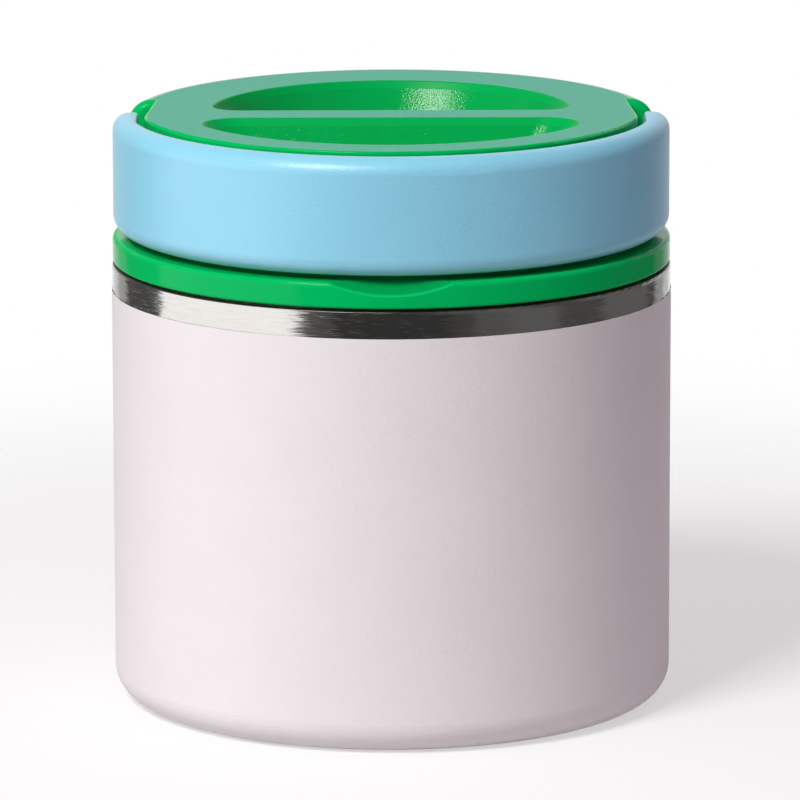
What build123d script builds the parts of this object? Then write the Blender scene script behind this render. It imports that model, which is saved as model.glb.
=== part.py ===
from build123d import *

import os
from math import radians, sqrt, tan

# Insulated food jar: a double-walled steel jar, a screw-in insulated lid and a swinging carry handle.
# Millimetres. The origin is the centre of the foot ring, +Z is up, and the front of the jar faces -Y.

# Jar, outside
body_radius = 52.0  # over the powder coat
coat_thickness = 0.1
bare_band = 5.0  # bare steel between the coat and the shoulder
shell_wall = 0.5
corner_radius = 5.7  # rolled bottom corner
foot_width = 2.4  # flat ring that the jar stands on
base_recess = 2.0
shoulder_top = 82.1
shoulder_radius = 0.7
neck_height = 1.0  # welded lip above the shoulder
lip_round = 0.3

# Jar, inside
shoulder_width = 5.1  # from the coat's face in to the mouth
liner_wall = 0.4
vacuum_gap = 3.0
neck_length = 16.6  # straight mouth that the plug goes into
neck_taper = 3.0
floor_gap = 3.6
liner_corner = 9.0
foil_thickness = 0.1
foil_gap = 0.2
foil_end_gap = 4.0
getter_radius = 5.0
getter_height = 1.6
getter_offset = 22.0
port_radius = 3.0  # dimple that holds the sealing bead
port_depth = 0.9
port_taper = 12.0
port_hole_radius = 0.8
base_plate_wall = 0.6
base_cover_radius = 24.0
base_cover_wall = 0.4

# Lid
seal_width = 3.0
seal_thickness = 1.3
seal_clearance = 0.3
flange_thickness = 1.0
flange_clearance = 0.4  # between the flange and the skirt
plug_clearance = 1.5  # room for the thread between the plug and the mouth
plug_depth = 14.8
plug_wall = 1.8
plug_corner = 2.0
spigot_height = 2.6
spigot_clearance = 0.1
ledge_thickness = 1.8
skirt_inset = 0.2  # from the body's face
skirt_wall = 2.6
skirt_gap = 0.4  # between the skirt and the shoulder
skirt_top_edge = 0.85
skirt_bottom_edge = 0.5
cap_inset = 1.35  # from the skirt's face to the rear half of the lid, behind the handle
cap_top_edge = 4.2
cap_proud = 0.5  # the lid's top stands this much above the handle
core_edge = 0.5
core_wall = 2.7
cap_wall = 2.2
flat_inset = 0.7  # from the core's side to each pivot flat at its front end
flat_start = -7.0  # Y of that front end
flat_toe = 4.5  # degrees that the flats close in towards the rear
flat_blend = 15.0
notch_gap = 0.4  # between the handle's round ends and the rear half
notch_edge = 1.5

# Finger pockets and the grip bar between them
pocket_depth = 11.5
pocket_wall = 2.0
pocket_edge = 0.4
pocket_floor_round = 3.0
pocket_draft = 26.0  # degrees that the walls close in towards the floor
rim_bevel_height = 1.4
rim_bevel_width = 0.8
bar_rear = -0.7  # Y of the bar's rear wall
bar_front = -9.1  # Y of the bar's front wall
rear_rim_width = 17.0  # from the rear pocket out to the side of the lid
rear_tip_round = 5.0
front_rim_width = 7.6
front_tip_round = 6.5
floor_tip_round = 5.0

# Finger scoop in the skirt, under the handle's lower edge
scoop_radius = 55.0
scoop_drop = 2.5
scoop_reach = 4.2

# Carry handle and its pivots
pivot_y = -0.8
handle_inset = 0.4  # from the body's face
handle_wall = 3.8
handle_height = 21.6
handle_gap = 0.9  # between the handle and the ledge
swing_clearance = 0.3  # between the handle and the lid's front edge as it swings over
handle_outer_edge = 3.1
handle_inner_edge = 0.6
pad_thickness = 4.7  # handle at its pivots, where it is flat inside
pin_radius = 2.5
pin_clearance = 0.05
pin_seat = 3.2  # depth of the pin in the handle
pin_head_radius = 4.0
pin_head_height = 1.5
pin_head_gap = 0.2
boss_radius = 5.0
boss_length = 6.5

# Insulating foam in the lid
foam_clearance = 0.3

# Radii that follow from the body's
mouth_radius = body_radius - shoulder_width
skirt_radius = body_radius - skirt_inset
cap_radius = skirt_radius - cap_inset
rear_pocket_radius = cap_radius - rear_rim_width
handle_radius = body_radius - handle_inset
handle_inner = handle_radius - handle_wall
pad_face = handle_radius - pad_thickness  # X of the handle's flat inner faces at the pivots

# The handle swings over the front edge of the lid's core, whose rounded corner lies furthest from the pivots.
end_radius = handle_height / 2  # the handle's ends are half-rounds about the pivots
corner_reach = handle_inner + pivot_y - swing_clearance - core_edge
corner_rise = end_radius + cap_proud - core_edge
core_radius = sqrt(corner_reach**2 - corner_rise**2) - pivot_y + core_edge
flat_reach = core_radius - flat_inset  # X of each pivot flat at its front end
front_pocket_radius = core_radius - front_rim_width

# Heights and other sizes that follow
coat_top = shoulder_top - bare_band
rim_top = shoulder_top + neck_height
seal_top = rim_top + seal_thickness
flange_top = seal_top + flange_thickness
ledge_top = flange_top + ledge_thickness
handle_bottom = ledge_top + handle_gap
pivot_height = handle_bottom + end_radius
cap_top = handle_bottom + handle_height + cap_proud
skirt_bottom = shoulder_top + skirt_gap
skirt_inner = skirt_radius - skirt_wall
plug_bottom = rim_top - plug_depth
plug_radius = mouth_radius - plug_clearance
seal_inner = plug_radius + seal_clearance
flange_radius = skirt_inner - flange_clearance
cavity_radius = core_radius - core_wall
spigot_radius = cavity_radius - spigot_clearance
pocket_floor = cap_top - pocket_depth
rim_bevel_bottom = cap_top - rim_bevel_height
floor_inset = rim_bevel_width + (pocket_depth - rim_bevel_height) * tan(radians(pocket_draft))
notch_wall = pivot_y + end_radius + notch_gap  # Y of the wall behind the handle's ends
flat_slope = tan(radians(flat_toe))
boss_inner = flat_reach - boss_length
foam_top = min(pocket_floor - pocket_wall, pivot_height - boss_radius) - foam_clearance
steel_radius = body_radius - coat_thickness
shell_inner = steel_radius - shell_wall
liner_outer = shell_inner - vacuum_gap
liner_inner = liner_outer - liner_wall
neck_outer = mouth_radius + liner_wall
neck_bottom = rim_top - neck_length
foot_outer = body_radius - corner_radius
foot_inner = foot_outer - foot_width
plate_top = base_recess + base_plate_wall
liner_bottom = plate_top + floor_gap
liner_bend = liner_bottom + liner_corner


def save(part, label):
    """Name a finished piece and write it as its own STEP file."""
    part.label = label
    export_step(part, f"parts/{label}.step")


def edgesBetween(part, low, high):
    """Edges that lie wholly between two heights."""
    above = part.edges().filter_by(lambda edge: edge.bounding_box().min.Z > low)
    return above.filter_by(lambda edge: edge.bounding_box().max.Z < high)


os.makedirs("parts", exist_ok=True)

# Outer shell: drawn tube, rolled in at the foot and at the shoulder, then turned up to the welded lip.
with BuildPart() as outer_shell:
    with BuildSketch(Plane.XZ):
        with BuildLine():
            Polyline((foot_inner, base_recess), (foot_inner, 0), (foot_outer, 0))
            TangentArc((foot_outer, 0), (body_radius, corner_radius), tangent=(1, 0))
            Polyline(
                (body_radius, corner_radius),
                (body_radius, coat_top),
                (steel_radius, coat_top),
                (steel_radius, shoulder_top - shoulder_radius),
            )
            TangentArc(
                (steel_radius, shoulder_top - shoulder_radius),
                (steel_radius - shoulder_radius, shoulder_top),
                tangent=(0, 1),
            )
            Polyline(
                (steel_radius - shoulder_radius, shoulder_top),
                (neck_outer + shell_wall, shoulder_top),
                (neck_outer + shell_wall, rim_top),
                (neck_outer, rim_top),
                (neck_outer, shoulder_top - shell_wall),
                (steel_radius - shoulder_radius, shoulder_top - shell_wall),
            )
            TangentArc(
                (steel_radius - shoulder_radius, shoulder_top - shell_wall),
                (shell_inner, shoulder_top - shoulder_radius),
                tangent=(1, 0),
            )
            Line((shell_inner, shoulder_top - shoulder_radius), (shell_inner, corner_radius))
            TangentArc((shell_inner, corner_radius), (foot_outer, body_radius - shell_inner), tangent=(0, -1))
            Polyline(
                (foot_outer, body_radius - shell_inner),
                (foot_inner + shell_wall, body_radius - shell_inner),
                (foot_inner + shell_wall, base_recess),
                (foot_inner, base_recess),
            )
        make_face()
    revolve(axis=Axis.Z)
    lip_edges = outer_shell.edges().group_by(Axis.Z)[-1]
    fillet(lip_edges.sort_by(SortBy.RADIUS)[-1], lip_round)
save(outer_shell.part, "outer_shell")

# Base plate: closes the vacuum space, with a dimple and a pump-out hole for the sealing bead.
with BuildPart() as base_plate:
    with BuildSketch(Plane.XY.offset(base_recess)):
        Circle(foot_inner + shell_wall)
    extrude(amount=base_plate_wall)
    with BuildSketch(Plane.XY.offset(plate_top)):
        Circle(port_radius + base_plate_wall)
    extrude(amount=port_depth, taper=port_taper)
    with BuildSketch(Plane.XY.offset(base_recess)):
        Circle(port_radius)
    extrude(amount=port_depth, taper=port_taper, mode=Mode.SUBTRACT)
    with BuildSketch(Plane.XY.offset(base_recess)):
        Circle(port_hole_radius)
    extrude(amount=port_depth + 2 * base_plate_wall, mode=Mode.SUBTRACT)
save(base_plate.part, "base_plate")

# Sealing bead: melted into the dimple once the space is pumped out.
with BuildPart() as port_seal:
    with BuildSketch(Plane.XY.offset(base_recess)):
        Circle(port_radius)
    extrude(amount=port_depth, taper=port_taper)
save(port_seal.part, "port_seal")

# Base cover: thin disc over the sealed port.
with BuildPart() as base_cover:
    with BuildSketch(Plane.XY.offset(base_recess)):
        Circle(base_cover_radius)
    extrude(amount=-base_cover_wall)
    fillet(base_cover.edges().sort_by(Axis.Z)[0], base_cover_wall / 2)
save(base_cover.part, "base_cover")

# Inner liner: deep-drawn pot with a necked mouth, welded to the shell at the lip.
with BuildPart() as inner_liner:
    with BuildSketch(Plane.XZ):
        with BuildLine():
            Line((0, liner_bottom), (liner_outer - liner_corner, liner_bottom))
            TangentArc((liner_outer - liner_corner, liner_bottom), (liner_outer, liner_bend), tangent=(1, 0))
            Polyline(
                (liner_outer, liner_bend),
                (liner_outer, neck_bottom - neck_taper),
                (neck_outer, neck_bottom),
                (neck_outer, rim_top),
                (mouth_radius, rim_top),
                (mouth_radius, neck_bottom),
                (liner_inner, neck_bottom - neck_taper),
                (liner_inner, liner_bend),
            )
            TangentArc(
                (liner_inner, liner_bend),
                (liner_outer - liner_corner, liner_bottom + liner_wall),
                tangent=(0, -1),
            )
            Polyline(
                (liner_outer - liner_corner, liner_bottom + liner_wall),
                (0, liner_bottom + liner_wall),
                (0, liner_bottom),
            )
        make_face()
    revolve(axis=Axis.Z)
    lip_edges = inner_liner.edges().group_by(Axis.Z)[-1]
    fillet(lip_edges.sort_by(SortBy.RADIUS)[0], lip_round)
save(inner_liner.part, "inner_liner")

# Foil wrap: reflects heat back, wound round the liner inside the vacuum space.
with BuildPart() as foil_wrap:
    with BuildSketch(Plane.XY.offset(liner_bend)):
        Circle(liner_outer + foil_gap + foil_thickness)
        Circle(liner_outer + foil_gap, mode=Mode.SUBTRACT)
    extrude(amount=neck_bottom - neck_taper - foil_end_gap - liner_bend)
save(foil_wrap.part, "foil_wrap")

# Getter: pill that keeps the vacuum clean, fixed to the base plate.
with BuildPart() as getter:
    with BuildSketch(Plane.XY.offset(plate_top)):
        with Locations((getter_offset, 0)):
            Circle(getter_radius)
    extrude(amount=getter_height)
    fillet(getter.edges().sort_by(Axis.Z)[-1], getter_height / 4)
save(getter.part, "getter")

# Seal ring: silicone, squeezed between the jar's lip and the lid's flange.
with BuildPart() as seal_ring:
    with BuildSketch(Plane.XZ):
        with Locations((seal_inner + seal_width / 2, (rim_top + seal_top) / 2)):
            RectangleRounded(seal_width, seal_thickness, seal_thickness / 4)
    revolve(axis=Axis.Z)
save(seal_ring.part, "seal_ring")

# Lid liner: the plug, with the flange that holds the seal and the spigot that is welded into the cap.
with BuildPart() as lid_liner:
    with BuildSketch(Plane.XZ):
        with BuildLine():
            Polyline(
                (0, plug_bottom),
                (plug_radius, plug_bottom),
                (plug_radius, seal_top),
                (flange_radius, seal_top),
                (flange_radius, flange_top),
                (spigot_radius, flange_top),
                (spigot_radius, flange_top + spigot_height),
                (spigot_radius - plug_wall, flange_top + spigot_height),
                (spigot_radius - plug_wall, flange_top),
                (plug_radius - plug_wall, seal_top - plug_wall),
                (plug_radius - plug_wall, plug_bottom + plug_wall),
                (0, plug_bottom + plug_wall),
                (0, plug_bottom),
            )
        make_face()
    revolve(axis=Axis.Z)
    fillet(edgesBetween(lid_liner, plug_bottom - plug_wall, plug_bottom + plug_wall / 2), plug_corner)
save(lid_liner.part, "lid_liner")

# Lid foam: fills the plug and the neck of the cap, up to just below the finger pockets and the pivot bosses.
with BuildPart() as lid_foam:
    with BuildSketch(Plane.XZ):
        with BuildLine():
            Polyline(
                (0, plug_bottom + plug_wall + foam_clearance),
                (plug_radius - plug_wall - foam_clearance, plug_bottom + plug_wall + foam_clearance),
                (plug_radius - plug_wall - foam_clearance, seal_top - 2 * plug_wall),
                (spigot_radius - plug_wall - foam_clearance, seal_top),
                (spigot_radius - plug_wall - foam_clearance, foam_top),
                (0, foam_top),
                (0, plug_bottom + plug_wall + foam_clearance),
            )
        make_face()
    revolve(axis=Axis.Z)
save(lid_foam.part, "lid_foam")


def pocketOutline(height, wall_y, side, radius, tip_round):
    """Half-moon between a straight wall and a circle, with round tips."""
    with BuildSketch(Plane.XY.offset(height)) as outline:
        Circle(radius)
        with Locations((0, wall_y)):
            Rectangle(
                4 * radius,
                4 * radius,
                align=(Align.CENTER, Align.MIN if side > 0 else Align.MAX),
                mode=Mode.INTERSECT,
            )
        fillet(outline.vertices(), tip_round)
    return outline.sketch


def pocketSolid(wall_y, side, radius, tip_round, wall):
    """Finger pocket with a bevelled rim and walls that close in towards its floor, plus a wall round it."""
    floor = pocket_floor - wall
    steps = [
        (cap_top, -wall, tip_round + wall),
        (rim_bevel_bottom, rim_bevel_width - wall, tip_round + wall),
        (floor, floor_inset - wall, floor_tip_round + wall),
    ]
    outlines = [
        pocketOutline(height, wall_y + side * inset, side, radius - inset, tip)
        for height, inset, tip in steps
    ]
    return loft(outlines[:2]) + loft(outlines[1:])


def pivotBar(radius, near, far, side):
    """Round bar on the pivot axis between two distances from the jar's middle, on the +X or the -X side."""
    start = Plane(origin=(side * near, pivot_y, pivot_height), x_dir=(0, 1, 0), z_dir=(side, 0, 0))
    with BuildPart() as bar:
        with BuildSketch(start):
            Circle(radius)
        extrude(amount=far - near)
    return bar.part


pockets = [
    (bar_rear, 1, rear_pocket_radius, rear_tip_round),
    (bar_front, -1, front_pocket_radius, front_tip_round),
]
root = ledge_top - ledge_thickness / 2  # the blocks on the ledge start inside it

# Front core of the lid: a round block whose pivot flats close in slightly towards the rear.
with BuildPart() as core:
    with BuildSketch(Plane.XY.offset(root)) as core_plan:
        Circle(core_radius)
        front_x = flat_reach + flat_slope * (flat_start + core_radius)
        rear_x = flat_reach + flat_slope * (flat_start - core_radius)
        Polygon(
            (-front_x, -core_radius),
            (front_x, -core_radius),
            (rear_x, core_radius),
            (-rear_x, core_radius),
            align=None,
            mode=Mode.INTERSECT,
        )
        fillet(core_plan.vertices().sort_by(Axis.Y)[:2], flat_blend)
    extrude(amount=cap_top - root)
    fillet(core.faces().sort_by(Axis.Z)[-1].edges(), core_edge)

# Rear half of the lid: wider, with a large top edge and a wall behind each of the handle's ends.
with BuildPart() as rear_block:
    with BuildSketch(Plane.XZ):
        with BuildLine():
            Polyline((0, cap_top), (0, root), (cap_radius, root), (cap_radius, cap_top - cap_top_edge))
            TangentArc(
                (cap_radius, cap_top - cap_top_edge),
                (cap_radius - cap_top_edge, cap_top),
                tangent=(0, 1),
            )
            Line((cap_radius - cap_top_edge, cap_top), (0, cap_top))
        make_face()
    revolve(axis=Axis.Z)
    split(bisect_by=Plane.XZ.offset(-notch_wall), keep=Keep.BOTTOM)
    wall_edges = rear_block.faces().sort_by(Axis.Y)[0].edges()
    fillet(wall_edges.sort_by(Axis.Z)[1:], notch_edge)

# Hollow of the lid: open below, and shaped round the outsides of the pockets.
with BuildPart() as hollow:
    with BuildSketch(Plane.XY.offset(flange_top)) as hollow_plan:
        Circle(cap_radius - cap_wall)
        with Locations((0, notch_wall + cap_wall)):
            Rectangle(4 * cap_radius, 4 * cap_radius, align=(Align.CENTER, Align.MIN), mode=Mode.INTERSECT)
        Circle(cavity_radius)
    extrude(amount=cap_top - cap_wall - flange_top)
    for pocket in pockets:
        add(pocketSolid(*pocket, pocket_wall), mode=Mode.SUBTRACT)

# Lid cap: one moulding with the skirt, the ledge under the handle, the finger pockets and the pivot bosses.
with BuildPart() as lid_cap:
    with BuildSketch(Plane.XZ):
        with BuildLine():
            Polyline(
                (0, ledge_top),
                (0, flange_top),
                (skirt_inner, flange_top),
                (skirt_inner, skirt_bottom),
                (skirt_radius - skirt_bottom_edge, skirt_bottom),
            )
            TangentArc(
                (skirt_radius - skirt_bottom_edge, skirt_bottom),
                (skirt_radius, skirt_bottom + skirt_bottom_edge),
                tangent=(1, 0),
            )
            Polyline(
                (skirt_radius, skirt_bottom + skirt_bottom_edge),
                (skirt_radius, ledge_top),
                (0, ledge_top),
            )
        make_face()
    revolve(axis=Axis.Z)
    # Scoop: a wide round-bottomed ramp that rises from the skirt's face to the ledge.
    ramp = Vector(0, scoop_reach, scoop_drop)
    scoop_start = Vector(0, -skirt_radius, ledge_top - scoop_drop) - ramp
    with BuildSketch(Plane(origin=scoop_start, x_dir=(1, 0, 0), z_dir=ramp)):
        with Locations((0, -scoop_radius)):
            Circle(scoop_radius)
    extrude(amount=2 * ramp.length, mode=Mode.SUBTRACT)
    rim_edges = lid_cap.faces().filter_by(GeomType.CYLINDER).sort_by(SortBy.AREA)[-1].edges()
    fillet(rim_edges.sort_by(Axis.Z)[-2:], skirt_top_edge)
    add(core.part)
    add(rear_block.part)
    add(hollow.part, mode=Mode.SUBTRACT)
    for pocket in pockets:
        add(pocketSolid(*pocket, 0), mode=Mode.SUBTRACT)
    floor_faces = lid_cap.faces().filter_by(Plane.XY).filter_by_position(
        Axis.Z, pocket_floor - pocket_wall / 2, pocket_floor + pocket_wall / 2
    )
    fillet(floor_faces.edges(), pocket_floor_round)
    top_face = lid_cap.faces().filter_by(Plane.XY).sort_by(Axis.Z)[-1]
    fillet([edge for wire in top_face.inner_wires() for edge in wire.edges()], pocket_edge)
    for side in (-1, 1):
        add(pivotBar(boss_radius, boss_inner, cavity_radius + core_wall / 2, side))
        bore = pivotBar(pin_radius + pin_clearance, boss_inner - boss_radius, pad_face, side)
        add(bore, mode=Mode.SUBTRACT)
save(lid_cap.part, "lid_cap")

# Carry handle: a deep half ring with half-round ends that turn about the pivots, flat inside at both ends.
with BuildPart() as handle:
    with BuildSketch(Plane.XY.offset(handle_bottom)):
        with Locations(Location((0, 0, 0), (0, 0, 90))):
            Circle(handle_radius)
        with BuildSketch(mode=Mode.PRIVATE) as inside:
            with Locations(Location((0, 0, 0), (0, 0, 90))):
                Circle(handle_inner)
            Rectangle(2 * pad_face, 2 * handle_inner, mode=Mode.INTERSECT)
            fillet(inside.vertices(), flat_blend)
        add(inside.sketch, mode=Mode.SUBTRACT)
    extrude(amount=handle_height)
    with BuildSketch(Plane.YZ):
        with Locations((pivot_y, pivot_height)):
            Circle(end_radius)
            Rectangle(2 * handle_radius, handle_height, align=(Align.MAX, Align.CENTER))
    extrude(amount=2 * handle_radius, both=True, mode=Mode.INTERSECT)
    outer_loop = handle.faces().sort_by(SortBy.AREA)[-1].edges()
    inner_loop = (handle.edges() - outer_loop).filter_by(Axis.Z, reverse=True).filter_by(Axis.X, reverse=True)
    fillet(inner_loop, handle_inner_edge)
    fillet(handle.faces().sort_by(SortBy.AREA)[-1].edges(), handle_outer_edge)
    for side in (-1, 1):
        add(pivotBar(pin_radius, pad_face - pin_seat, pad_face + pin_seat, side), mode=Mode.SUBTRACT)
save(handle.part, "handle")

# Pivot pins: pushed out from inside the lid, pressed into the handle, turning in the bosses.
head_outer = boss_inner - pin_head_gap
for label, side in (("pivot_pin_left", -1), ("pivot_pin_right", 1)):
    with BuildPart() as pin:
        add(pivotBar(pin_radius, head_outer, pad_face + pin_seat, side))
        add(pivotBar(pin_head_radius, head_outer - pin_head_height, head_outer, side))
    save(pin.part, label)
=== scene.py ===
import math

import bmesh
import bpy
import numpy as np
from mathutils import Matrix, Vector


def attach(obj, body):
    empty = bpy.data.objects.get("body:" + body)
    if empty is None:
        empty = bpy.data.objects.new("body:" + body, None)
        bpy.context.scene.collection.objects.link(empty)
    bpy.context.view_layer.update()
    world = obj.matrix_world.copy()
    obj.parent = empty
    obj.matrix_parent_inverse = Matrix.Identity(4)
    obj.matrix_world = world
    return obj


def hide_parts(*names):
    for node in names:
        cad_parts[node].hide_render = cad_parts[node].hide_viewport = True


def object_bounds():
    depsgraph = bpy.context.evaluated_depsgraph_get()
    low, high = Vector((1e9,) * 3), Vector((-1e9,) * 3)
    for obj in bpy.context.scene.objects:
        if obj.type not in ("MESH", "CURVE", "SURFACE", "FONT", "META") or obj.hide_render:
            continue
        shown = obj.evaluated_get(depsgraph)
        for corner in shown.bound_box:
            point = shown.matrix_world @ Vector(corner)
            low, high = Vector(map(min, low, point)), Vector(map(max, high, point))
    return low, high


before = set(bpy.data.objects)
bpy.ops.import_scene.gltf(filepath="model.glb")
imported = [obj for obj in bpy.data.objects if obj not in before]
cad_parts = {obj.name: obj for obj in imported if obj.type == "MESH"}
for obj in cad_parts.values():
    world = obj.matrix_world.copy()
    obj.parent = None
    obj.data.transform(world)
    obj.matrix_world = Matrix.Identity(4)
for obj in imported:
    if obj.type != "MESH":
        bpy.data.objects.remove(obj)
cadLow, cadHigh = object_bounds()
scene = bpy.context.scene
mm = 0.001
mergeMm = 0.001  # points closer than this are one point
tiny = 1e-9  # lengths and angles below this count as none
# a colour Mix node's sockets, told by number because several of them share a name
mixShare, mixLow, mixHigh, mixOut = 0, 6, 7, 2
print("frame loaded:", len(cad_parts), "nodes")


def hexToLinear(text):
    # "#RRGGBB" in sRGB to a linear colour with alpha, by the standard curve
    parts = np.array([int(text[i:i + 2], 16) for i in (1, 3, 5)]) / 255
    linear = np.where(parts <= 0.04045, parts / 12.92, ((parts + 0.055) / 1.055) ** 2.4)
    return (*linear.tolist(), 1.0)


def addNode(tree, kind, inputs=None, **settings):
    # one node with its settings; an input is a value, a socket, or a node whose first live output is meant
    made = tree.nodes.new(kind)
    for name, value in settings.items():
        setattr(made, name, value)
    for socket, value in (inputs or {}).items():
        if isinstance(value, bpy.types.Node):
            value = next(out for out in value.outputs if out.enabled)
        if isinstance(value, bpy.types.NodeSocket):
            tree.links.new(value, made.inputs[socket])
        else:
            made.inputs[socket].default_value = value
    return made


def newMaterial(name, **values):
    # a material with one Principled shader; values are its socket values, with _ for a space
    material = bpy.data.materials.new(name)
    material.use_nodes = True
    tree = material.node_tree
    tree.nodes.clear()
    sockets = {key.replace("_", " "): value for key, value in values.items()}
    shader = addNode(tree, "ShaderNodeBsdfPrincipled", sockets)
    addNode(tree, "ShaderNodeOutputMaterial", {"Surface": shader})
    return material, tree, shader


def grainField(tree, sizes, detail=2.0, roughness=0.5):
    # a cloudy field, 0 to 1, whose grains are sizes millimetres along X, Y and Z
    coords = addNode(tree, "ShaderNodeTexCoord").outputs["Object"]
    scaled = addNode(tree, "ShaderNodeMapping", {"Vector": coords, "Scale": [1 / (size * mm) for size in sizes]})
    noise = {"Vector": scaled, "Scale": 1.0, "Detail": detail, "Roughness": roughness}
    return addNode(tree, "ShaderNodeTexNoise", noise).outputs[0]


def giveFinish(tree, shader, mottle, grain, facts):
    # base colour between the two tones of facts, by mottle, and for some a painted highlight tone near the object's
    # outside; and a relief that is grainDepthMm deep where grain goes from 0 to 1
    tones = {mixShare: mottle, mixLow: hexToLinear(facts["dark"]), mixHigh: hexToLinear(facts["light"])}
    tone = addNode(tree, "ShaderNodeMix", tones, data_type="RGBA").outputs[mixOut]
    if "rimHighlightTone" in facts:
        coords = addNode(tree, "ShaderNodeTexCoord").outputs["Object"]
        level = addNode(tree, "ShaderNodeVectorMath", {0: coords, 1: (1, 1, 0)}, operation="MULTIPLY")
        radius = addNode(tree, "ShaderNodeVectorMath", {0: level}, operation="LENGTH").outputs["Value"]
        # painted highlight: lighter towards the outer radius
        rimHighlight = {"Value": radius, "From Min": facts["rimHighlightFromMm"] * mm, "From Max": facts["rimHighlightToMm"] * mm}
        rimHighlight = addNode(tree, "ShaderNodeMapRange", rimHighlight, interpolation_type="SMOOTHSTEP")
        tones = {mixShare: rimHighlight, mixLow: tone, mixHigh: hexToLinear(facts["rimHighlightTone"])}
        tone = addNode(tree, "ShaderNodeMix", tones, data_type="RGBA").outputs[mixOut]
    tree.links.new(tone, shader.inputs["Base Color"])
    pressed = {"Height": grain, "Distance": facts["grainDepthMm"] * mm, "Strength": 1.0}
    relief = addNode(tree, "ShaderNodeBump", pressed)
    tree.links.new(relief.outputs[0], shader.inputs["Normal"])


# a long lens, a little above the jar; place in metres, angles in degrees, lens and sensor in millimetres
cameraFacts = {
    "place": (0.0, -1.3169, 0.3295),
    "tiltDown": 11.77,
    "roll": -0.13,
    "lens": 324.1,
    "sensor": 36,
    "shiftX": 0.0104,
    "shiftY": 0.0007,
    "clipStart": 0.05,
}


def makeCamera(facts):
    data = bpy.data.cameras.new("camera")
    camera = bpy.data.objects.new("camera", data)
    scene.collection.objects.link(camera)
    data.lens = facts["lens"]
    data.sensor_width = facts["sensor"]
    data.shift_x = facts["shiftX"]
    data.shift_y = facts["shiftY"]
    data.clip_start = facts["clipStart"]
    tilt = Matrix.Rotation(math.radians(90 - facts["tiltDown"]), 4, "X")
    roll = Matrix.Rotation(math.radians(facts["roll"]), 4, "Z")
    camera.matrix_world = Matrix.Translation(facts["place"]) @ tilt @ roll
    scene.camera = camera


makeCamera(cameraFacts)
print("camera placed")

studioFacts = {
    "ambient": (0.325, 0.275, 0.31, 1.0),  # soft light from everywhere, a little rosy
    "panelRadius": 2.2,
    "panelLow": -2.2,
    "panelTop": 2.4,
    "panelSteps": 25,
    "overhead": 0.06,
    "overheadSteps": 48,
}
floorFacts = {
    "colour": "#FAFAFA",
    "roughness": 0.9,
    "specular": 0.2,
    "alpha": 0.5,  # the white surroundings shine through the floor, so that its shadow stays faint
    "solid": 0.12,  # and beyond this radius it fades into them
    "end": 0.34,
    "meshRadius": 0.374,
    "rings": 30,
    "segments": 96,
}
# azimuth in degrees from the camera's side, minus is to the left; the side light shows in no reflection
softboxes = {
    "keySoftbox": {"azimuth": -35.5, "elevation": 46, "distance": 1.5, "size": 0.5, "radiance": 22.6, "glossy": True},
    "sideSoftbox": {"azimuth": -80, "elevation": 10, "distance": 1.5, "size": 1.0, "radiance": 1.1, "glossy": False},
}
# panels that only reflections show: azimuth from, azimuth to, brightness, and for some the heights that they span;
# behind the object they leave a gap
reflectionPanels = {
    "panelPaleLeft": (-164, -153, 0.8),
    "panelGreyLeft": (-153, -140, 0.47),
    "panelDarkLeft": (-140, -109, 0.088),
    "panelWhite": (-109, -38, 1.5, -2.2, 1.0),
    "panelWhiteUpper": (-109, -38, 0.12, 1.0, 2.4),
    "panelDimFront": (-38, -24, 0.1),
    "panelDarkFront": (-24, 24, 0.047),
    "panelDuskFront": (24, 34, 0.075),
    "panelDimRight": (34, 48, 0.125),
    "panelGreyRight": (48, 72, 0.15),
    "panelDuskRight": (72, 96, 0.088),
    "panelGreySide": (96, 130, 0.155),
    "panelDarkSide": (130, 138, 0.07),
    "panelGreyBack": (138, 151, 0.4),
    "panelPaleBack": (151, 162, 0.7),
}


def direction(azimuth, elevation):
    across, up = math.radians(azimuth), math.radians(elevation)
    return Vector((math.sin(across) * math.cos(up), -math.cos(across) * math.cos(up), math.sin(up)))


def makeWorld(facts):
    # white where the surroundings are seen, directly or in a reflection, and a plain soft light elsewhere
    world = bpy.data.worlds.new("studioWhite")
    scene.world = world
    world.use_nodes = True
    tree = world.node_tree
    tree.nodes.clear()
    rays = addNode(tree, "ShaderNodeLightPath").outputs
    seen = addNode(tree, "ShaderNodeMath", {0: rays["Is Camera Ray"], 1: rays["Is Glossy Ray"]}, operation="MAXIMUM")
    seen = addNode(tree, "ShaderNodeMath", {0: seen, 1: rays["Is Transmission Ray"]}, operation="MAXIMUM")
    light = {mixShare: seen, mixLow: facts["ambient"], mixHigh: (1, 1, 1, 1)}
    light = addNode(tree, "ShaderNodeMix", light, data_type="RGBA").outputs[mixOut]
    background = addNode(tree, "ShaderNodeBackground", {"Color": light})
    addNode(tree, "ShaderNodeOutputWorld", {"Surface": background})


def makeSoftbox(name, facts):
    data = bpy.data.lights.new(name, "AREA")
    data.shape = "SQUARE"
    data.size = facts["size"]
    data.energy = facts["radiance"] * math.pi * facts["size"] ** 2
    softbox = bpy.data.objects.new(name, data)
    scene.collection.objects.link(softbox)
    softbox.visible_glossy = facts["glossy"]
    towards = direction(facts["azimuth"], facts["elevation"])
    softbox.location = (cadLow + cadHigh) / 2 + towards * facts["distance"]
    softbox.rotation_euler = towards.to_track_quat("Z", "Y").to_euler()


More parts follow.
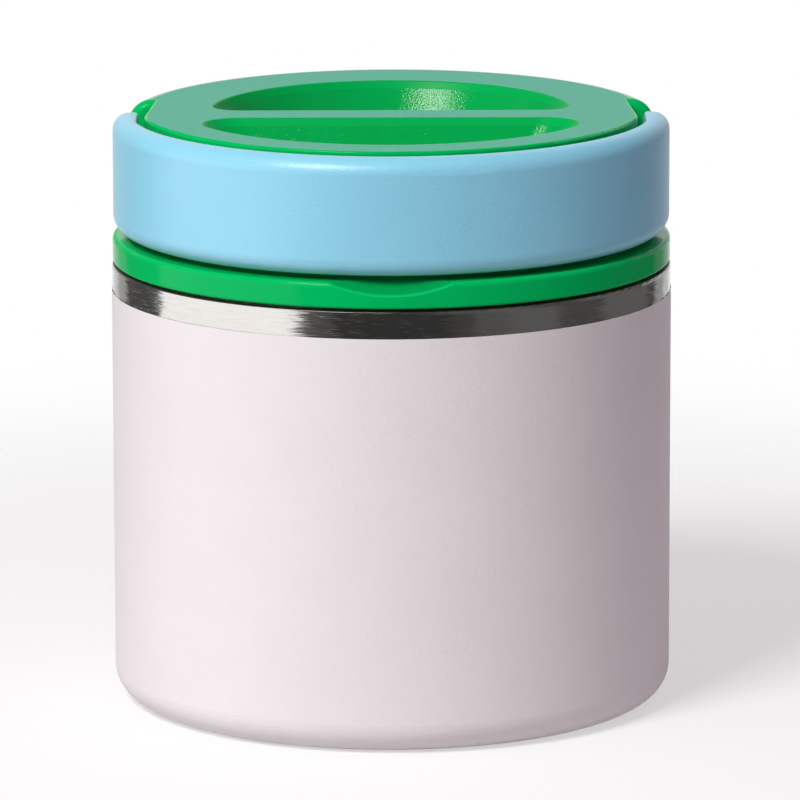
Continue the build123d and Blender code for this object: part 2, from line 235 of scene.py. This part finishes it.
def gridMesh(name, points, closeAcross=False, closeAlong=False, sharpAngle=35):
    # a mesh over a grid of points, rows by columns, closed round either way, with its doubles merged; edges that
    # bend by more than sharpAngle degrees stay sharp
    rows, columns = points.shape[:2]
    mesh = bpy.data.meshes.new(name)
    index = np.arange(rows * columns).reshape(rows, columns)
    if closeAlong:
        index = np.vstack([index, index[:1]])
    if closeAcross:
        index = np.hstack([index, index[:, :1]])
    quads = np.stack([index[:-1, :-1], index[1:, :-1], index[1:, 1:], index[:-1, 1:]], axis=-1).reshape(-1, 4)
    mesh.from_pydata(points.reshape(-1, 3).tolist(), [], quads.tolist())
    work = bmesh.new()
    work.from_mesh(mesh)
    bmesh.ops.remove_doubles(work, verts=work.verts, dist=mergeMm * mm)
    bmesh.ops.recalc_face_normals(work, faces=work.faces)
    work.to_mesh(mesh)
    work.free()
    mesh.shade_smooth()
    mesh.set_sharp_from_angle(angle=math.radians(sharpAngle))
    made = bpy.data.objects.new(name, mesh)
    scene.collection.objects.link(made)
    return made


def gridDisc(name, radii, height, columns):
    # rings of points at the radii, all at one height; the innermost ring has shrunk to the centre
    out, turn = np.meshgrid(radii, np.linspace(0, 2 * math.pi, columns, endpoint=False), indexing="ij")
    points = np.stack([out * np.cos(turn), out * np.sin(turn), np.full_like(out, height)], axis=-1)
    return gridMesh(name, points, closeAcross=True)


def glowPanel(panel, brightness):
    # makes the object a panel that only reflections show
    material = bpy.data.materials.new(panel.name + "Glow")
    material.use_nodes = True
    tree = material.node_tree
    tree.nodes.clear()
    glow = addNode(tree, "ShaderNodeEmission", {"Color": (1, 1, 1, 1), "Strength": brightness})
    addNode(tree, "ShaderNodeOutputMaterial", {"Surface": glow})
    panel.data.materials.append(material)
    panel.visible_camera = False
    panel.visible_diffuse = False
    panel.visible_shadow = False
    panel.visible_transmission = False


def makePanels(facts, panels):
    # stretches of an upright cylinder round the object, x = reach sin angle and y = -reach cos angle, and a disc
    # that closes it overhead
    reach = facts["panelRadius"]
    for name, (start, end, brightness, *span) in panels.items():
        angles = np.radians(np.linspace(start, end, facts["panelSteps"]))
        ends = span or (facts["panelLow"], facts["panelTop"])
        across, up = np.meshgrid(angles, np.array(ends), indexing="ij")
        points = np.stack([reach * np.sin(across), -reach * np.cos(across), up], axis=-1)
        glowPanel(gridMesh(name, points), brightness)
    overhead = gridDisc("panelOverhead", np.array([0, reach]), facts["panelTop"], facts["overheadSteps"])
    glowPanel(overhead, facts["overhead"])


def makeFloor(facts):
    # matt white paper: a disc whose far part lets the white surroundings through
    floor = gridDisc("floor", np.linspace(0, facts["meshRadius"], facts["rings"]), 0.0, facts["segments"])
    material, tree, shader = newMaterial(
        "paperFloor",
        Base_Color=hexToLinear(facts["colour"]),
        Roughness=facts["roughness"],
        Specular_IOR_Level=facts["specular"],
    )
    coords = addNode(tree, "ShaderNodeTexCoord").outputs["Object"]
    radius = addNode(tree, "ShaderNodeVectorMath", {0: coords}, operation="LENGTH").outputs["Value"]
    fade = {"Value": radius, "From Min": facts["solid"], "From Max": facts["end"]}
    fade.update({"To Min": facts["alpha"], "To Max": 0.0})
    solid = addNode(tree, "ShaderNodeMapRange", fade, interpolation_type="SMOOTHERSTEP")
    tree.links.new(solid.outputs[0], shader.inputs["Alpha"])
    floor.data.materials.append(material)


makeWorld(studioFacts)
for softboxName, softboxFacts in softboxes.items():
    makeSoftbox(softboxName, softboxFacts)
makePanels(studioFacts, reflectionPanels)
makeFloor(floorFacts)
print("studio lit")

coatFacts = {
    "light": "#EDE9E8",
    "dark": "#E8E4E3",
    "mottleMm": 14,
    "ior": 1.5,
    "specular": 0.28,
    "roughness": 0.5,
    "grainMm": 0.45,  # a little coarser than the real grain, so that it shows
    "grainDepthMm": 0.045,
    "grainDetail": 1.5,
}


def powderCoat(facts):
    # powder coat: baked polyester paint, satin, with the fine orange peel of melted powder
    material, tree, shader = newMaterial(
        "powderCoat", Roughness=facts["roughness"], IOR=facts["ior"], Specular_IOR_Level=facts["specular"]
    )
    mottle = grainField(tree, (facts["mottleMm"],) * 3)
    grain = grainField(tree, (facts["grainMm"],) * 3, detail=facts["grainDetail"])
    giveFinish(tree, shader, mottle, grain, facts)
    return material


bandFacts = {
    "light": "#CFCCC9",
    "dark": "#BDBAB7",
    "roughness": 0.1,
    "anisotropy": 0.5,
    "streakMm": (5.0, 5.0, 0.22),  # brush lines run round the jar, coarser than the real ones, so that they show
    "streakTilt": 0.075,
    "scratchMm": (4.0, 4.0, 0.13),  # deeper lines among them, where the reflection is blurred
    "scratchFrom": 0.54,
    "scratchTo": 0.7,
    "scratchRoughness": 0.29,
    "bendFrom": 81.84,  # the shoulder's rounding is shaded as upright up to here, and above it dull and painted dark, a painted shade line under the lid's skirt
    "bendTo": 81.9,
    # the painted shade on the shoulder's rounding, darker than the band
    "bendShadeTone": "#615E5A",
    "bendRoughness": 0.5,
}


def brushBand(tree, shader, tone, facing, facts):
    # deeper brush lines blur the reflection, and the shoulder's rounding is upright below and dull and painted dark
    # above, a painted shade line; returns the new tone and normal
    scratch = grainField(tree, facts["scratchMm"])
    blurred = {"Value": scratch, "From Min": facts["scratchFrom"], "From Max": facts["scratchTo"]}
    blurred.update({"To Min": facts["roughness"], "To Max": facts["scratchRoughness"]})
    blurred = addNode(tree, "ShaderNodeMapRange", blurred)
    coords = addNode(tree, "ShaderNodeTexCoord").outputs["Object"]
    height = addNode(tree, "ShaderNodeSeparateXYZ", {"Vector": coords}).outputs["Z"]
    bend = {"Value": height, "From Min": facts["bendFrom"] * mm, "From Max": facts["bendTo"] * mm}
    bend = addNode(tree, "ShaderNodeMapRange", bend)
    dulled = {"Value": bend, "To Min": blurred, "To Max": facts["bendRoughness"]}
    dulled = addNode(tree, "ShaderNodeMapRange", dulled)
    tree.links.new(dulled.outputs[0], shader.inputs["Roughness"])
    upright = addNode(tree, "ShaderNodeCombineXYZ", {"X": 1.0, "Y": 1.0, "Z": bend})
    facing = addNode(tree, "ShaderNodeVectorMath", {0: facing, 1: upright}, operation="MULTIPLY")
    # painted shade: above bendFrom the shoulder's rounding turns to the dark tone
    tones = {mixShare: bend, mixLow: tone, mixHigh: hexToLinear(facts["bendShadeTone"])}
    tone = addNode(tree, "ShaderNodeMix", tones, data_type="RGBA").outputs[mixOut]
    return tone, facing


brushFacts = {"detail": 3.0, "roughness": 0.6}  # how mixed the widths of the lines are, on every steel


def brushedSteel(name, facts):
    # brushed stainless steel: fine lines run round it, and each line tips the reflection a little its own way
    material, tree, shader = newMaterial(
        name, Metallic=1.0, Roughness=facts["roughness"], Anisotropic=facts["anisotropy"]
    )
    streak = grainField(tree, facts["streakMm"], **brushFacts)
    tones = {mixShare: streak, mixLow: hexToLinear(facts["dark"]), mixHigh: hexToLinear(facts["light"])}
    tone = addNode(tree, "ShaderNodeMix", tones, data_type="RGBA").outputs[mixOut]
    facing = addNode(tree, "ShaderNodeNewGeometry").outputs["Normal"]
    if "bendFrom" in facts:
        tone, facing = brushBand(tree, shader, tone, facing, facts)
    tree.links.new(tone, shader.inputs["Base Color"])
    along = addNode(tree, "ShaderNodeTangent", direction_type="RADIAL", axis="Z")
    tree.links.new(along.outputs[0], shader.inputs["Tangent"])
    tilt = facts["streakTilt"]
    tip = addNode(tree, "ShaderNodeMapRange", {"Value": streak, "To Min": -tilt, "To Max": tilt})
    aside = addNode(tree, "ShaderNodeVectorMath", {0: along, "Scale": tip}, operation="SCALE")
    tipped = addNode(tree, "ShaderNodeVectorMath", {0: facing, 1: aside}, operation="ADD")
    tipped = addNode(tree, "ShaderNodeVectorMath", {0: tipped}, operation="NORMALIZE")
    tree.links.new(tipped.outputs[0], shader.inputs["Normal"])
    return material


plasticFacts = {"ior": 1.49, "grainDetail": 1.0}  # what every finish of polypropylene shares
# the grains of the blasted and eroded faces are a little coarser than the real ones, so that they show
greenFacts = {
    "greenPolished": {  # the lid's outside
        "light": "#00BE62", "dark": "#00B65B", "mottleMm": 9,
        "specular": 0.07, "roughness": 0.13, "grainMm": 4.0, "grainDepthMm": 0.004,
    },
    "greenFrosted": {  # the lid's flat top: a finely blasted mould face
        "light": "#14B070", "dark": "#10AA6A", "mottleMm": 9,
        "specular": 0.47, "roughness": 0.5, "grainMm": 0.4, "grainDepthMm": 0.09,
        "sheen": 0.5, "sheenRoughness": 0.5, "sheenTone": "#A4F2FF",
    },
    "greenBevel": {  # the bevelled rims of the finger pockets
        "light": "#00B155", "dark": "#00AB50", "mottleMm": 9,
        "specular": 0.05, "roughness": 0.3, "grainMm": 4.0, "grainDepthMm": 0.004,
    },
    "greenGrained": {  # the walls of the finger pockets: a spark-eroded mould face, whose grains sparkle
        "light": "#00AC52", "dark": "#00A64D", "mottleMm": 9,
        "specular": 0.2, "roughness": 0.13, "grainMm": 0.36, "grainDepthMm": 0.058,
    },
    "greenScoopShaded": {  # the ramp of the finger scoop, painted a darker green as painted shade for the handle's shadow over it
        "light": "#009E4E", "dark": "#00984A", "mottleMm": 9,
        "specular": 0.06, "roughness": 0.3, "grainMm": 0.5, "grainDepthMm": 0.02,
        "rimHighlightFromMm": 50.9, "rimHighlightToMm": 51.6, "rimHighlightTone": "#0ABE66",  # a painted highlight along its sharp outer edge, as if it were rounded and caught the light
    },
    "greenPlug": {  # the plug: polished, with faint flow marks
        "light": "#00BB61", "dark": "#00AE55", "mottleMm": 9,
        "specular": 0.2, "roughness": 0.2, "grainMm": 3.0, "grainDepthMm": 0.01,
    },
}


def mouldedPlastic(name, facts):
    # moulded polypropylene with the finish of its mould face, from polished to powdery in raking light
    material, tree, shader = newMaterial(
        name,
        Roughness=facts["roughness"],
        IOR=plasticFacts["ior"],
        Specular_IOR_Level=facts["specular"],
        Sheen_Weight=facts.get("sheen", 0.0),
        Sheen_Roughness=facts.get("sheenRoughness", 0.5),
        Sheen_Tint=hexToLinear(facts.get("sheenTone", "#FFFFFF")),
    )
    mottle = grainField(tree, (facts["mottleMm"],) * 3)
    grain = grainField(tree, (facts["grainMm"],) * 3, detail=plasticFacts["grainDetail"])
    giveFinish(tree, shader, mottle, grain, facts)
    return material


# the handle: moulded against a finely blasted face, so it is satin
blueFacts = {
    "light": "#91D7EC",
    "dark": "#8AD2E9",
    "mottleMm": 11,
    "specular": 0.5,
    "roughness": 0.34,
    "sheen": 0.15,
    "sheenRoughness": 0.35,
    "grainMm": 0.42,
    "grainDepthMm": 0.045,
}

siliconeFacts = {
    "light": "#EDEEEA",
    "dark": "#DDDFDA",
    "ior": 1.41,
    "roughness": 0.38,
    "scatter": 0.4,
    "scatterMm": 1.5,
    "mottleMm": 3.6,
    "grainMm": 1.2,
    "grainDepthMm": 0.02,
}


def milkySilicone(facts):
    # platinum-cured silicone: milky, soft sheen, light goes a little way in
    material, tree, shader = newMaterial(
        "siliconeRubber",
        Roughness=facts["roughness"],
        IOR=facts["ior"],
        Subsurface_Weight=facts["scatter"],
        Subsurface_Scale=facts["scatterMm"] * mm,
    )
    mottle = grainField(tree, (facts["mottleMm"],) * 3)
    grain = grainField(tree, (facts["grainMm"],) * 3)
    giveFinish(tree, shader, mottle, grain, facts)
    return material


# deep-drawn and electropolished: bright, with soft lines round it
linerFacts = {
    "light": "#CBC9C6",
    "dark": "#B4B2AF",
    "roughness": 0.24,
    "anisotropy": 0.4,
    "streakMm": (9.0, 9.0, 0.35),
    "streakTilt": 0.03,
}
# cold-rolled sheet: even and a little dull, the same all ways round
baseFacts = {
    "light": "#C8C6C3",
    "dark": "#B1AFAC",
    "roughness": 0.3,
    "anisotropy": 0.0,
    "streakMm": (0.4, 7.0, 0.4),
    "streakTilt": 0.03,
}
# turned from rod: tool marks run round it
pinFacts = {
    "light": "#C4C2BF",
    "dark": "#ABA9A6",
    "roughness": 0.22,
    "anisotropy": 0.0,
    "streakMm": (0.12, 4.0, 4.0),
    "streakTilt": 0.02,
}
# what the walls and the lid hold inside
hiddenFacts = {
    "aluminiumFoil": {  # crinkled by hand winding
        "light": "#DCDDE0", "dark": "#C9CACD", "metallic": 1.0, "roughness": 0.2,
        "grainMm": 4.0, "grainDepthMm": 0.25,
    },
    "sinteredGetter": {  # pressed metal powder
        "light": "#56565A", "dark": "#3C3C40", "metallic": 0.9, "roughness": 0.62,
        "grainMm": 0.3, "grainDepthMm": 0.06,
    },
    "sealingGlass": {  # melted and set
        "light": "#2A2D30", "dark": "#1D2023", "metallic": 0.0, "roughness": 0.12,
        "grainMm": 1.4, "grainDepthMm": 0.12,
    },
    "polyurethaneFoam": {  # rigid, with small cells
        "light": "#EBE3C6", "dark": "#D8CDA8", "metallic": 0.0, "roughness": 0.85,
        "grainMm": 0.7, "grainDepthMm": 0.2,
    },
}


def hiddenMaterial(name, facts):
    # one grain gives both the tone and the relief
    material, tree, shader = newMaterial(name, Metallic=facts["metallic"], Roughness=facts["roughness"])
    grain = grainField(tree, (facts["grainMm"],) * 3)
    giveFinish(tree, shader, grain, grain, facts)
    return material


coat = powderCoat(coatFacts)
band = brushedSteel("brushedSteelBand", bandFacts)
linerSteel = brushedSteel("electropolishedSteel", linerFacts)
baseSteel = brushedSteel("rolledSteelSheet", baseFacts)
pinSteel = brushedSteel("turnedSteel", pinFacts)
greens = {name: mouldedPlastic(name, facts) for name, facts in greenFacts.items()}
handleBlue = mouldedPlastic("bluePolypropylene", blueFacts)
sealWhite = milkySilicone(siliconeFacts)
hidden = {name: hiddenMaterial(name, facts) for name, facts in hiddenFacts.items()}
print("materials made")

nodeMaterials = {
    "base_plate": baseSteel,
    "base_cover": baseSteel,
    "port_seal": hidden["sealingGlass"],
    "foil_wrap": hidden["aluminiumFoil"],
    "getter": hidden["sinteredGetter"],
    "lid_foam": hidden["polyurethaneFoam"],
    "handle": handleBlue,
    "pivot_pin_left": pinSteel,
    "pivot_pin_right": pinSteel,
}


def dressNode(name, *materials):
    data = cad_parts[name].data
    data.materials.clear()
    for material in materials:
        data.materials.append(material)
    return data


def faceFacts(data):
    # for each face: its centre's x and y and its height, in millimetres, and how far its normal rises, 0 to 1
    centres, normals = (np.empty(len(data.polygons) * 3) for _ in range(2))
    data.polygons.foreach_get("center", centres)
    data.polygons.foreach_get("normal", normals)
    centres = centres.reshape(-1, 3) / mm
    return centres[:, :2].T, centres[:, 2], normals.reshape(-1, 3)[:, 2]


# the coat ends at the band and at the foot's inner edge, the band's brushing ends at the flat of the shoulder
shellFacts = {"coatTop": 77.1, "coatInside": 44.4, "bandTop": 82.095}


def dressShell(facts):
    # coat, brushed band above it, plain steel inside the foot and over the shoulder, told face by face
    data = dressNode("outer_shell", coat, band, baseSteel)
    coated, brushed, plain = range(3)
    across, height, _ = faceFacts(data)
    finish = np.where(height > facts["coatTop"], brushed, coated)
    finish = np.where(np.hypot(*across) < facts["coatInside"], plain, finish)
    finish = np.where(height > facts["bandTop"], plain, finish)
    data.polygons.foreach_set("material_index", finish.astype(np.int32))


# the flat top, what lies within the pockets below and above the foot of their bevelled rims, and the scoop's ramp,
# which is painted darker as shade
capFacts = {
    "flatTop": 110.1995,
    "pocketRadius": 40.5,
    "pocketLow": 97.5,
    "bevelLow": 108.8,
    "scoopHalfWidth": 13.0,
    "scoopRadius": 51.25,
    "scoopLow": 85.4,
    "scoopHigh": 87.17,
    "rampSteepest": 0.5,
    "rampFlattest": 0.975,
}


def dressCap(facts):
    # polished outside, frosted flat top, grained and bevelled pockets, scoop painted darker as shade, told face by
    # face
    finishes = ("greenPolished", "greenFrosted", "greenGrained", "greenBevel", "greenScoopShaded")
    polished, frosted, grained, bevelled, shadedRamp = range(len(finishes))
    data = dressNode("lid_cap", *(greens[finish] for finish in finishes))
    across, height, rise = faceFacts(data)
    radius = np.hypot(*across)
    pocket = (radius < facts["pocketRadius"]) & (height > facts["pocketLow"])
    finish = np.where(pocket, np.where(height < facts["bevelLow"], grained, bevelled), polished)
    finish = np.where(height > facts["flatTop"], frosted, finish)
    scoop = (across[1] < 0) & (np.abs(across[0]) < facts["scoopHalfWidth"]) & (radius < facts["scoopRadius"])
    scoop &= (height > facts["scoopLow"]) & (height < facts["scoopHigh"])
    scoop &= (rise > facts["rampSteepest"]) & (rise < facts["rampFlattest"])
    # the scoop's ramp gets the darker green of painted shade
    finish = np.where(scoop, shadedRamp, finish)
    data.polygons.foreach_set("material_index", finish.astype(np.int32))


for nodeName, nodeMaterial in nodeMaterials.items():
    dressNode(nodeName, nodeMaterial)
dressShell(shellFacts)
dressCap(capFacts)
print("frame dressed")


def roundedProfile(corners, arcSteps=6):
    # a closed outline through (radius, height, rounding) corners, each corner cut by an arc tangent to both sides:
    # its centre lies on the corner's bisector, rounding / sin(half the angle) away from the corner
    corners = np.array(corners, float)
    here, rounding = corners[:, :2], corners[:, 2]
    before = np.roll(here, 1, axis=0) - here
    after = np.roll(here, -1, axis=0) - here
    before /= np.linalg.norm(before, axis=1, keepdims=True)
    after /= np.linalg.norm(after, axis=1, keepdims=True)
    half = np.arccos(np.clip((before * after).sum(1), -1, 1)) / 2
    back = rounding / np.tan(np.maximum(half, tiny))
    middle = before + after
    length = np.linalg.norm(middle, axis=1, keepdims=True)
    middle = np.where(length > tiny, middle / np.maximum(length, tiny), 0)
    centre = here + middle * (rounding / np.sin(half))[:, None]
    start = here + before * back[:, None]
    end = here + after * back[:, None]
    share = np.linspace(0, 1, arcSteps)[None, :, None]
    chord = start[:, None] * (1 - share) + end[:, None] * share - centre[:, None]
    size = np.linalg.norm(chord, axis=2, keepdims=True)
    arc = centre[:, None] + chord / np.maximum(size, tiny) * rounding[:, None, None]
    arc = np.where(rounding[:, None, None] > 0, arc, here[:, None])
    return arc.reshape(-1, 2)


def resampled(outline, step):
    # the closed outline with points added so that none of its sides is longer than step
    closing = np.vstack([outline, outline[:1]])
    sides = np.linalg.norm(np.diff(closing, axis=0), axis=1)
    closing = closing[np.append(sides > tiny, True)]
    sides = np.linalg.norm(np.diff(closing, axis=0), axis=1)
    counts = np.maximum(np.ceil(sides / step).astype(int), 1)
    along = np.concatenate([[0], np.cumsum(sides)])
    marks = np.repeat(along[:-1], counts) + np.repeat(sides / counts, counts) * (
        np.arange(counts.sum()) - np.repeat(np.cumsum(counts) - counts, counts)
    )
    return np.stack([np.interp(marks, along, closing[:, k]) for k in (0, 1)], axis=1)


def threadHeight(turn, height, facts):
    # a ridge that climbs lead millimetres in a turn: its round section, a power of a cosine, repeats every
    # lead / starts millimetres of height, and both its ends run out smoothly over runOut
    pitch = facts["lead"] / facts["starts"]
    phase = (height - facts["low"] - facts["lead"] * turn / (2 * math.pi)) / pitch + facts["shift"]
    off = np.abs(phase - np.round(phase)) * pitch / facts["halfWidth"]
    ridge = np.where(off < 1, np.cos(np.clip(off, 0, 1) * math.pi / 2) ** facts["fullness"], 0)
    fade = np.clip((height - facts["low"]) / facts["runOut"], 0, 1)
    fade = fade * np.clip((facts["high"] - height) / facts["runOut"], 0, 1)
    return facts["depth"] * ridge * fade * fade * (3 - 2 * fade)


def turnedPiece(name, material, facts):
    # a profile turned about Z: x = radius cos turn, y = radius sin turn, z = height, in millimetres, then to
    # metres; the thread pushes the wall out or in
    outline = resampled(roundedProfile(facts["corners"]), facts["step"])
    turns = np.linspace(0, 2 * math.pi, facts["segments"], endpoint=False)
    turn, radius = np.meshgrid(turns, outline[:, 0], indexing="ij")
    height = np.broadcast_to(outline[:, 1], radius.shape)
    if "lead" in facts:
        low, high = facts["between"]
        threaded = (radius > low) & (radius < high)
        radius = radius + np.where(threaded, threadHeight(turn, height, facts), 0)
    points = np.stack([radius * np.cos(turn), radius * np.sin(turn), height], axis=-1) * mm
    made = gridMesh(name, points, closeAcross=True, closeAlong=True)
    made.data.materials.append(material)
    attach(made, facts["body"])
    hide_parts(facts["node"])


# food pot, with the thread rolled into its mouth
linerShape = {
    "node": "inner_liner",
    "body": "jar",
    "slot": "bare_steel",
    "corners": [
        (0, 6.2, 0), (48.4, 6.2, 9.0), (48.4, 63.5, 0.8), (47.3, 66.5, 0.8), (47.3, 83.1, 0),
        (46.9, 83.1, 0.3), (46.9, 66.5, 1.2), (48.0, 63.5, 1.2), (48.0, 6.6, 8.6), (0, 6.6, 0),
    ],
    "step": 0.9,
    "segments": 240,
    "lead": 8.0,
    "starts": 2,
    "low": 69.0,
    "high": 80.0,
    "runOut": 1.2,
    "shift": 0.0,
    "halfWidth": 1.1,
    "fullness": 1.2,
    "depth": -1.0,  # rolled inwards
    "between": (46.8, 47.4),  # radii of the wall that carries the thread
}
# plug of the lid, with its screw thread
plugShape = {
    "node": "lid_liner",
    "body": "lid",
    "slot": "green_plastic",
    "corners": [
        (0, 68.7, 0), (37.0, 68.7, 0.5), (37.6, 68.3, 0.3), (45.4, 68.3, 2.0), (45.4, 84.4, 0.15), (48.8, 84.4, 0.3),
        (48.8, 85.4, 0.2), (43.4, 85.4, 0.1), (43.4, 88.0, 0.2), (41.6, 88.0, 0.2), (41.6, 85.4, 0.2),
        (43.6, 82.6, 0.2), (43.6, 70.1, 0.6), (0, 70.1, 0),
    ],
    "step": 0.7,
    "segments": 240,
    "lead": 8.0,
    "starts": 2,
    "low": 70.3,
    "high": 80.3,
    "runOut": 1.0,
    "shift": 0.175,  # its ridge lies 0.15 of a pitch above the mouth's, so at rest the two cross
    "halfWidth": 0.95,
    "fullness": 0.7,
    "depth": 1.1,
    "between": (45.39, 45.41),
}
# seal ring, with the groove that the jar's lip presses into it
sealShape = {
    "node": "seal_ring",
    "body": "seal",
    "slot": "seal_rubber",
    "corners": [
        (45.7, 83.1, 0.3), (46.9, 83.1, 0.1), (47.2, 83.3, 0.1), (47.7, 83.3, 0.1), (48.0, 83.1, 0.1),
        (48.7, 83.1, 0.3), (48.7, 84.4, 0.35), (45.7, 84.4, 0.35),
    ],
    "step": 0.5,
    "segments": 240,
}

turnedPiece("liner", linerSteel, linerShape)
turnedPiece("plug", greens["greenPlug"], plugShape)
turnedPiece("seal", sealWhite, sealShape)
print("liner, plug and seal turned")

scene.view_settings.view_transform = "Standard"
